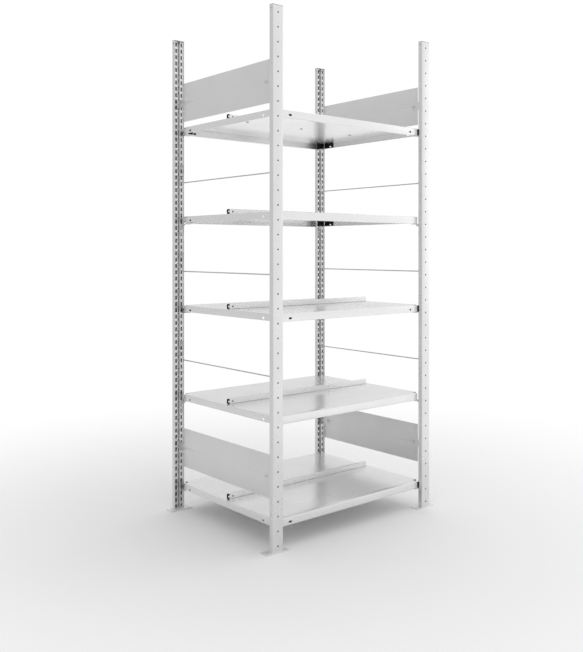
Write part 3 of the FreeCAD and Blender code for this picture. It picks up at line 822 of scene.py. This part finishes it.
def corner_piece(top, side_x, side_y, notched, ribbed):
    """Arm, leg and rib as plates: the arm's and the rib's outlines lie in (y, z), the leg's in (x, z). The
    notch is half a circle cut up from the arm's lower edge."""
    roof, wall, edge = top - SHEET - PLAY, SHELF_BOX[1][1][0] - SHEET - PLAY, END_Y - PLAY
    arm_y, arm_z = (SHORT_ARM_Y0, roof - SHORT_ARM_H) if side_y < 0 else (ARM_Y0, roof - ARM_H)
    arm = np.array([(arm_y, arm_z), (ARM_Y1, arm_z), (ARM_Y1, roof), (arm_y, roof)])
    if notched:
        turns = np.radians(np.linspace(180, 0, 9))
        notch = np.column_stack([END_HOLE_Y + NOTCH_R * np.cos(turns), arm_z + NOTCH_R * np.sin(turns)])
        arm = np.concatenate([arm[:1], notch, arm[1:]])
    foot = roof - LEG_H[side_x]
    if side_x < 0:
        end = [(TOE_X, roof), (TOE_X, roof - TOE_H), (TOE_X + TOE_W, roof - TOE_H), (TOE_X + TOE_W, foot)]
    else:
        leg_x = SHORT_LEG_X0 if side_y < 0 else LEG_X0
        end = [(leg_x, roof), (leg_x, foot)]
    leg = closed(end + [(LEG_X1, foot), (LEG_X1, roof)], LEG_R)
    parts = [place(slab(arm, wall - ARM_T, wall, ARM_EDGE), "y z x"),
             place(slab(leg, -edge, -LEG_Y), "x z -y")]
    if ribbed:
        rib_z1 = top - RIB_TOP
        rib_z0 = rib_z1 - RIB_H
        rib = closed([(RIB_Y0, rib_z0), (RIB_Y, rib_z0), (RIB_Y, rib_z1), (RIB_Y0, rib_z1)], RIB_R)
        parts.append(place(slab(rib, RIB_X, RIB_X + RIB_T), "y z x"))
    return join(parts)


def corner_pieces(number):
    """All four of a shelf. The rear arms are notched, at the left only on the two lowest shelves."""
    parts = []
    for side_x, side_y in CORNERS.values():
        notched = side_y > 0 and (side_x > 0 or number > 3)
        ribbed = side_x > 0 and number in FIXED_SHELVES
        parts.append(mirror(corner_piece(shelf_top(number), side_x, side_y, notched, ribbed), side_x, side_y))
    return join(parts)


made = [add_piece(f"corners_{n}", corner_pieces(n), BLACK, [f"corner_blocks_{n}"])
        for n in SHELVES]
tell("corner pieces", made)

# %% [markdown]
# ### Locks
#
# An oval black plug sits in each left hand oval of a fixed shelf, so little sunk that its own soft edge and
# the edge of the hole show as a ring. A black patch of colour on the fold would do from afar, but it would
# lack that ring.

# %% locks
LOCK_SLIP, LOCK_SUNK, LOCK_L = mm(0.15, 0.2, 3.3)


def locks():
    """Oval plugs, a little sunk in the ovals of both folds at the left hand end."""
    half_y = SHELF_BOX[1][1][1]
    outline = oval(OVAL_HALF_W - LOCK_SLIP, OVAL_HALF_H - LOCK_SLIP)
    parts = []
    for number in FIXED_SHELVES:
        plug = slab(outline, LOCK_SUNK - half_y, LOCK_SUNK + LOCK_L - half_y)
        plug = place(plug, "-x z y", (-OVAL_X, 0, shelf_top(number) - OVAL_DROP))
        parts += [plug, mirror(plug, 1, -1)]
    return join(parts)


made = [add_piece("oval_locks", locks(), BLACK, ["shelf_locks"])]
tell("locks", made)

# %% [markdown]
# ## Clips
#
# A clip is a plate on edge, with a seat folded from it that carries the shelf's corner. Its hook goes
# through a slot and drops behind the shoulder. Under a shelf that lifts it is a gusset with a heel. Beside a
# fixed shelf it stands up in the cut out corner, so that nothing shows below.
#
# *Why one outline?* The real clip is cut from plate, so its whole form lies in one outline, and the hook's
# few corners are worked out from the slot that it goes through.

# %% clips
CLIP_T, CLIP_GAP = mm(2, 0.3)
CLIP_Y0, CLIP_Y1, CLIP_DEEP, CLIP_HEEL = mm(275, 283, 9, 30)
CLIP_SLOT, SIDE_CLIP_SLOT = mm(45, 20)
HOOK_T, HOOK_H, HOOK_NECK, HOOK_ROOM = mm(2.5, 14, 7, 1)
SEAT_X, SEAT_Y0, SEAT_Y1 = mm(338, 276, 298)
CLIP_R, SEAT_R, CLIP_EDGE = mm(0.8, 2, 0.2)
FOLD_DOWN = 28 * MM


def hook_line(slot_z):
    """The hook, from the plate's back edge through the slot and down behind the shoulder."""
    back, behind = SHOULDER_Y - PLAY, SHOULDER_Y + STRIP + PLAY
    roof = slot_z + SLOT_HALF_H - HOOK_ROOM
    return [(back, roof), (behind + HOOK_T, roof), (behind + HOOK_T, roof - HOOK_H),
            (behind, roof - HOOK_H), (behind, roof - HOOK_NECK), (back, roof - HOOK_NECK)]


def clip(number):
    """The plate's outline in (y, z), and the seat as a flat plate with round corners in (x, y)."""
    top = shelf_top(number)
    seat, back = top - FOLD_DOWN - CLIP_GAP, SHOULDER_Y - PLAY
    if number in FIXED_SHELVES:
        low = seat - CLIP_T
        hook = hook_line(top - SIDE_CLIP_SLOT)
        corners = [(SEAT_Y0, low), (SEAT_Y0, hook[0][1])] + hook + [(back, low)]
    else:
        foot, front = top - CLIP_SLOT - CLIP_HEEL, INNER_Y + STRIP
        corners = [(CLIP_Y0, seat), (back, seat)] + hook_line(top - CLIP_SLOT) + [
            (back, foot), (front, foot), (front, seat - CLIP_DEEP), (CLIP_Y1, seat - CLIP_DEEP)]
    plate = slab(closed(corners[::-1], CLIP_R), COLUMN_X - CLIP_T / 2, COLUMN_X + CLIP_T / 2, CLIP_EDGE)
    shelf_seat = slab(rounded_rect((COLUMN_X - SEAT_X) / 2, (SEAT_Y1 - SEAT_Y0) / 2, SEAT_R),
                      seat - CLIP_T, seat, CLIP_EDGE)
    middle = ((COLUMN_X + SEAT_X) / 2, (SEAT_Y0 + SEAT_Y1) / 2, 0)
    return join([place(plate, "y z x"), place(shelf_seat, "x y z", middle)])


clips = join([clip(n) for n in SHELVES])
made = [add_piece("clips_" + corner, mirror(clips, *signs), ZINC, ["shelf_clips_" + corner])
        for corner, signs in CORNERS.items()]
tell("clips", made)

# %% [markdown]
# ## Side plates
#
# Two flat plates tie the uprights of each end. A small bent bracket behind each end of a plate reaches into
# the upright's groove. Both are lines carried upward, with the bolt's hole round a point of the line.
#
# *How else?* A cube as thin as the sheet has the right box, but no hole and no bend. As sheets, plate and
# bracket really lie on each other, and the bracket's foot has its round fold.

# %% side plates
ENDS = {f"{name}_{level}": side for name, side in SIDES.items() for level in ("lower", "upper")}
BOLT_Y, BOLT_R = mm(254, 4)
BOLT_HOLE_R, BOLT_CELL = mm(4.3, 9)
PLATE_T, PLATE_REACH = mm(1.5, 277)
PLATE_EDGE = 0.25 * MM
BRACKET_Y, BRACKET_BEND, BRACKET_FOOT = mm(240, 1.6, 5)


def bolted_sheet(node, path, bolts, out=0):
    """A line carried up through a node's height, with the bolt's hole round some of the line's points."""
    low, high = span(node)
    middle = (low[2] + high[2]) / 2
    below, above = middle - BOLT_CELL, middle + BOLT_CELL
    holes = [(i, middle, circle(BOLT_HOLE_R), below, above) for i in bolts]
    return place(bent_sheet(path, [low[2], below, above, high[2]], holes), "y -x z", (out, 0, 0))


def side_plate(node):
    """A straight line across the depth with a point in each bolt's place."""
    path = np.array([(y, 0) for y in (-PLATE_REACH, -BOLT_Y, 0, BOLT_Y, PLATE_REACH)])
    return bolted_sheet(node, path, (1, 3), POST_X + PLATE_T / 2)


def bracket(node):
    """A bent line: a leaf behind the plate, and a foot folded outward in the groove."""
    face, floor_y = POST_X - PLATE_T / 2, span(node)[1][1] - PLATE_T
    path = bend([(BRACKET_Y, -face, 0), (BOLT_Y, -face, 0), (floor_y, -face, BRACKET_BEND),
                 (floor_y, -POST_X - BRACKET_FOOT, 0)])
    return bolted_sheet(node, path, [1])


def pair(part, side):
    """The same part at both uprights of an end."""
    return join([mirror(part, side, 1), mirror(part, side, -1)])


made = []
for end, side in ENDS.items():
    node = f"side_plate_{end}"
    made.append(add_piece(f"plate_{end}", mirror(side_plate(node), side), PLATE_STEEL,
                          [node], thickness=PLATE_T, bevel=PLATE_EDGE))
    node = f"plate_brackets_{end}"
    made.append(add_piece(f"brackets_{end}", pair(bracket(node), side), PLATE_STEEL,
                          [node], thickness=PLATE_T))
tell("side plates and brackets", made)

# %% [markdown]
# ### Bolts
#
# A button head bolt with a hexagon socket holds plate and bracket, with a nut inside. Bolt and nut are one
# spun skin from the tip to the socket's floor. As two they would need a seam that nobody sees.

# %% bolts
HEAD_R, HEAD_H, NUT_FLAT, NUT_CORNER, NUT_H = mm(6.8, 3.6, 6.4, 6.6, 5)
SOCKET, SOCKET_DEEP = mm(2.5, 2.4)
BOLT_END, BOLT_TAPER, NUT_CHAMFER = mm(1.5, 0.8, 0.6)


def bolt(node):
    """From the tip outward: shank, nut with chamfered corners, shank, domed head, hexagon socket."""
    low, high = span(node)
    nut, socket = many_sided(NUT_FLAT), many_sided(SOCKET)
    rounded = np.minimum(nut, NUT_CORNER)
    inner, outer, h = -2 * PLATE_T - NUT_H, -2 * PLATE_T, HEAD_H
    levels = [(BOLT_R * 0.8, inner - BOLT_END), (BOLT_R, inner - BOLT_TAPER), (BOLT_R, inner),
              (rounded, inner), (nut, inner + NUT_CHAMFER), (nut, outer - NUT_CHAMFER), (rounded, outer),
              (BOLT_R, outer), (BOLT_R, 0), (HEAD_R, 0), (HEAD_R, 0.25 * h), (HEAD_R * 0.93, 0.55 * h),
              (HEAD_R * 0.75, 0.83 * h), (HEAD_R * 0.5, h), (socket * 1.08, h), (socket, 0.93 * h),
              (socket, h - SOCKET_DEEP)]
    return place(spun(levels), "y z x", (POST_X + PLATE_T / 2, BOLT_Y, (low[2] + high[2]) / 2))


made = [add_piece(f"bolts_{end}", pair(bolt(f"plate_bolts_{end}"), side), ZINC,
                  [f"plate_bolts_{end}"]) for end, side in ENDS.items()]
tell("bolts", made)

# %% [markdown]
# ## Wire guards
#
# A round wire keeps the books from sliding out at the ends. Its line runs from a hook behind one slot down a
# leg, across the bay's end and up to the other upright. Round rings stand across the line at every point.
#
# *How else?* A curve with a bevel depth gives the same tube. As rings it is a mesh from the start, closed at
# its ends and ready to be mirrored to the other side.

# %% wire guards
WIRE_R, WIRE_BEND, HOOK_BEND = mm(2.25, 5, 3)
GUARD_RISE, GUARD_SLOT_Z, GUARD_TIP = mm(71, 1.5, 8)
GUARD_CORNER_Y = 292 * MM
TIP_BEND, TIP_ROOM = WIRE_R * 1.05, 3 * PLAY
WIRE_SIDES = 16


def wire_guard(node):
    """A tube along a bent line in (y, z): each ring is the line's point plus WIRE_R (cos x + sin n), with n
    across the line's direction there."""
    run = span(node)[0][2] + WIRE_R
    slot_z = run + GUARD_RISE + GUARD_SLOT_Z
    tip_y = SHOULDER_Y + STRIP + WIRE_R + TIP_ROOM
    half = [(tip_y, slot_z - GUARD_TIP, 0), (tip_y, slot_z, TIP_BEND),
            (SHOULDER_Y - 2 * WIRE_R, slot_z, HOOK_BEND), (GUARD_CORNER_Y, run, WIRE_BEND)]
    line = bend(half + [(0, run, 0)] + [(-y, z, r) for y, z, r in reversed(half)], 6)
    ahead = np.gradient(line, axis=0)
    ahead /= np.linalg.norm(ahead, axis=1)[:, None]
    turns = np.arange(WIRE_SIDES) * 2 * math.pi / WIRE_SIDES
    across = np.column_stack([ahead[:, 1], -ahead[:, 0]])
    rings = np.empty((len(line), WIRE_SIDES, 3))
    rings[..., 0] = COLUMN_X + WIRE_R * np.cos(turns)
    rings[..., 1:] = line[:, None] + WIRE_R * np.sin(turns)[:, None] * across[:, None]
    return loft(rings)


made = []
for name, side in SIDES.items():
    for n in (1, 2, 3):
        node = f"wire_guard_{name}_{n}"
        made.append(add_piece(f"guard_{name}_{n}", mirror(wire_guard(node), side), WIRE_STEEL,
                              [node]))
tell("wire guards", made)

# %% [markdown]
# ## Floor
#
# The object stands on a plain pale disc. With distance the disc fades to a white glow, so it has no edge and
# no horizon for the camera. Seen in the steel, it glows only at the right, as if the lamps lit it there.
#
# *How else?* A bent backdrop behind the object also hides the horizon, but it fills the reflections of one
# side only and has to be moved with the camera.

# %% floor
FLOOR_R, FLOOR_ROUGH, FLOOR_SHINE = 12.0, 0.6, 0.1
FADE_FROM, FADE_TO = 0.6, 2.4
GLOW_X0, GLOW_X1 = -0.3, 0.9
FLOOR_LIT, FLOOR_SEEN = 0.86, 0.99


def floor_material():
    """Pale and matt. The share of white glow is the fade with distance, times one for camera rays and the
    rise towards +x for all others."""
    material, tree, shader = new_material("studio_floor")
    seen = chain(tree, "LightPath", {}, "Is Camera Ray")
    where = chain(tree, "TexCoord", {}, "Object")
    feed(tree, shader, {"Base Color": tint(tree, seen, FLOOR_LIT, FLOOR_SEEN), "Roughness": FLOOR_ROUGH,
                        "Specular IOR Level": FLOOR_SHINE})
    distance = chain(tree, "VectorMath", {0: where}, "Value", operation="LENGTH")
    fade = chain(tree, "MapRange", {"Value": distance, "From Min": FADE_FROM, "From Max": FADE_TO},
                 interpolation_type="SMOOTHSTEP")
    rise = spread(tree, chain(tree, "SeparateXYZ", {"Vector": where}, "X"), 0, 1, GLOW_X0, GLOW_X1)
    share = maths(tree, "MULTIPLY", fade, maths(tree, "MAXIMUM", rise, seen))
    glow = chain(tree, "Emission", {})
    blend = chain(tree, "MixShader", {"Fac": share, 1: shader.outputs["BSDF"], 2: glow})
    feed(tree, tree.nodes["Material Output"], {"Surface": blend})
    return material


def make_floor():
    """A flat disc on the ground."""
    ring = circle(FLOOR_R, 64)
    mesh = bpy.data.meshes.new("floor")
    mesh.from_pydata(np.column_stack([ring, np.zeros(len(ring))]), [], [list(range(len(ring)))])
    mesh.materials.append(floor_material())
    obj = bpy.data.objects.new("floor", mesh)
    bpy.context.scene.collection.objects.link(obj)
    return obj


floor = make_floor()
print("floor", floor.name, "radius", FLOOR_R)

# %% [markdown]
# ## World and lamps
#
# Steel shows what surrounds it. So the world is bright, with a slow gradient from the front right to the
# rear left, and two large soft lamps add a little from the right and from above. Camera rays see plain white
# instead of the world.
#
# *Why a gradient?* With an even world every bent edge would reflect the same tone and the folds would
# melt together.

# %% world and lamps
BRIGHT_SIDE = (0.93, -0.37, 0.0)
SKY_DIM, SKY_BRIGHT = 0.76, 1.18


def make_world():
    """The gradient is the direction's dot product with BRIGHT_SIDE, mapped from dim to bright."""
    world = bpy.data.worlds.new("studio")
    world.use_nodes = True
    sky = world.node_tree
    sky.nodes.clear()
    where = chain(sky, "TexCoord", {}, "Generated")
    lean = chain(sky, "VectorMath", {0: where, 1: BRIGHT_SIDE}, "Value", operation="DOT_PRODUCT")
    lit = chain(sky, "Background", {"Strength": spread(sky, lean, SKY_DIM, SKY_BRIGHT, -1, 1)})
    plain = chain(sky, "Background", {"Color": grey(1)})
    shown = chain(sky, "MixShader", {"Fac": chain(sky, "LightPath", {}, "Is Camera Ray"), 1: lit, 2: plain})
    feed(sky, sky.nodes.new("ShaderNodeOutputWorld"), {"Surface": shown})
    return world


def soft_lamp(name, location, aim, size, power):
    """A square area lamp that looks at a point."""
    data = bpy.data.lights.new(name, "AREA")
    data.size = size
    data.energy = power
    obj = bpy.data.objects.new(name, data)
    obj.location = location
    obj.rotation_euler = (Vector(aim) - Vector(location)).to_track_quat("-Z", "Y").to_euler()
    bpy.context.scene.collection.objects.link(obj)
    return obj


bpy.context.scene.world = make_world()
lamps = [soft_lamp("side", (2.7, -1.3, 1.5), (0, 0, 0.8), 1.8, 4),
         soft_lamp("top", (0.8, -0.2, 3.6), (0.2, 0, 0), 3.0, 15)]
print("lamps", [lamp.name for lamp in lamps])

# %% [markdown]
# ## Camera
#
# The camera looks level, a little above the middle of the object's height, so that upright edges stay
# upright in the picture. To show the floor as well, the picture is shifted and the camera isn't tilted.

# %% camera
CAMERA_AT, CAMERA_TURN = (-2.0941, -2.4253, 1.0225), -40.11
SENSOR, LENS, SHIFT_DOWN = 36, 44.54, -0.1163

camera = bpy.data.objects.new("camera", bpy.data.cameras.new("camera"))
camera.location = CAMERA_AT
camera.rotation_euler = (math.radians(90), 0, math.radians(CAMERA_TURN))
camera.data.sensor_fit = "VERTICAL"
camera.data.sensor_height = SENSOR
camera.data.lens = LENS
camera.data.shift_y = SHIFT_DOWN
bpy.context.scene.collection.objects.link(camera)
bpy.context.scene.camera = camera
print("camera at", [round(c, 3) for c in camera.location])

# %% [markdown]
# ## Closing
#
# The standard view transform shows colours as they are written.

# %% finish
bpy.context.scene.view_settings.view_transform = "Standard"
